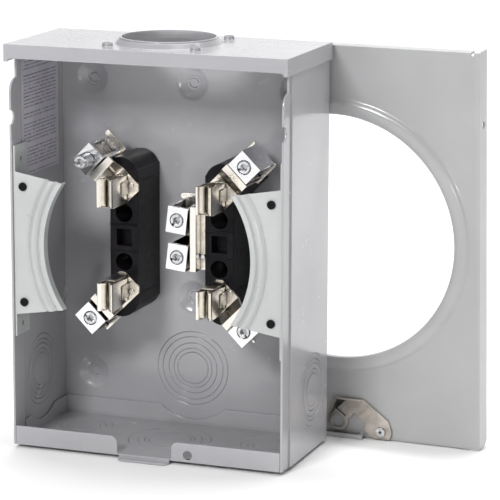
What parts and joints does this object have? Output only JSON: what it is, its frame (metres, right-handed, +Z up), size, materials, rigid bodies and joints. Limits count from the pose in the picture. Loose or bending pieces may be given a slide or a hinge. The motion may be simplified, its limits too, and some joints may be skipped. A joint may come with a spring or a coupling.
{
  "type": "meter socket enclosure",
  "caption": "Grey sheet-steel meter socket enclosure with sprung jaws, wire lugs and a hub opening; its ringless cover with a locking hasp leans behind it.",
  "frame": {"origin": "centre of the underside of the box's base, leaving out the cover", "axes": "+X to the right seen from the front, +Y towards the wall behind the box, +Z up to the cap; the meter plugs in along +Y"},
  "size_m": [0.2952, 0.1309, 0.2734],
  "materials": {
    "grey_paint": "semi-gloss grey baked enamel",
    "cover_paint": "semi-gloss grey baked enamel",
    "bracket_paint": "semi-gloss light grey baked enamel",
    "black_moulding": "moulded thermoset, slight sheen",
    "black_rivet": "black oxide",
    "tinned_metal": "tin-plated, soft sheen",
    "spring_steel": "spring steel, satin",
    "zinc_collar": "bright zinc plate",
    "zinc_screw": "bright zinc plate",
    "hasp_steel": "brushed stainless steel, warm",
    "label_paper": "printed sticker, no legible words"
  },
  "bodies": {
    "enclosure": {"back_and_sides": "grey_paint", "top_cap": "grey_paint", "bottom_panel": "grey_paint", "left_bracket": "bracket_paint", "right_bracket": "bracket_paint", "bracket_rivets": "black_rivet", "left_block": "black_moulding", "right_block": "black_moulding", "block_screws": "zinc_screw", "upper_left_strap": "tinned_metal", "upper_right_strap": "tinned_metal", "lower_left_strap": "tinned_metal", "lower_right_strap": "tinned_metal", "upper_left_jaw": "tinned_metal", "upper_right_jaw": "tinned_metal", "lower_left_jaw": "tinned_metal", "lower_right_jaw": "tinned_metal", "upper_left_spring": "spring_steel", "upper_right_spring": "spring_steel", "lower_left_spring": "spring_steel", "lower_right_spring": "spring_steel", "upper_left_collar": "zinc_collar", "upper_right_collar": "zinc_collar", "lower_left_collar": "zinc_collar", "lower_right_collar": "zinc_collar", "strap_rivets": "tinned_metal", "neutral_strap": "tinned_metal", "neutral_strap_screw": "zinc_screw", "upper_neutral_collar": "zinc_collar", "lower_neutral_collar": "zinc_collar", "rating_label": "label_paper"},
    "cover": {"cover": "cover_paint", "hasp_rivet": "zinc_screw"},
    "hasp": {"hasp": "hasp_steel"},
    "upper_left_screw": {"upper_left_screw": "zinc_screw"},
    "upper_right_screw": {"upper_right_screw": "zinc_screw"},
    "lower_left_screw": {"lower_left_screw": "zinc_screw"},
    "lower_right_screw": {"lower_right_screw": "zinc_screw"},
    "upper_neutral_screw": {"upper_neutral_screw": "zinc_screw"},
    "lower_neutral_screw": {"lower_neutral_screw": "zinc_screw"}
  },
  "joints": [
    {"name": "cover_slide", "type": "slide", "parent": "enclosure", "child": "cover", "axis": [1, 0, 0], "range_m": [0, 0.13]},
    {"name": "hasp_swing", "type": "hinge", "parent": "cover", "child": "hasp", "pos_m": [0.12838, 0.05904, 0.00372], "axis": [-0.0522, -0.9965, -0.0654], "range_deg": [-30, 32]},
    {"name": "upper_left_screw_travel", "type": "slide", "parent": "enclosure", "child": "upper_left_screw", "axis": [0, -1, 0], "range_m": [-0.0165, 0]},
    {"name": "upper_right_screw_travel", "type": "slide", "parent": "enclosure", "child": "upper_right_screw", "axis": [0, -1, 0], "range_m": [-0.0075, 0.01]},
    {"name": "lower_left_screw_travel", "type": "slide", "parent": "enclosure", "child": "lower_left_screw", "axis": [0, -1, 0], "range_m": [-0.0075, 0.01]},
    {"name": "lower_right_screw_travel", "type": "slide", "parent": "enclosure", "child": "lower_right_screw", "axis": [0, -1, 0], "range_m": [-0.0075, 0.01]},
    {"name": "upper_neutral_screw_travel", "type": "slide", "parent": "enclosure", "child": "upper_neutral_screw", "axis": [0, -1, 0], "range_m": [-0.0075, 0.01]},
    {"name": "lower_neutral_screw_travel", "type": "slide", "parent": "enclosure", "child": "lower_neutral_screw", "axis": [0, -1, 0], "range_m": [-0.0075, 0.01]}
  ]
}
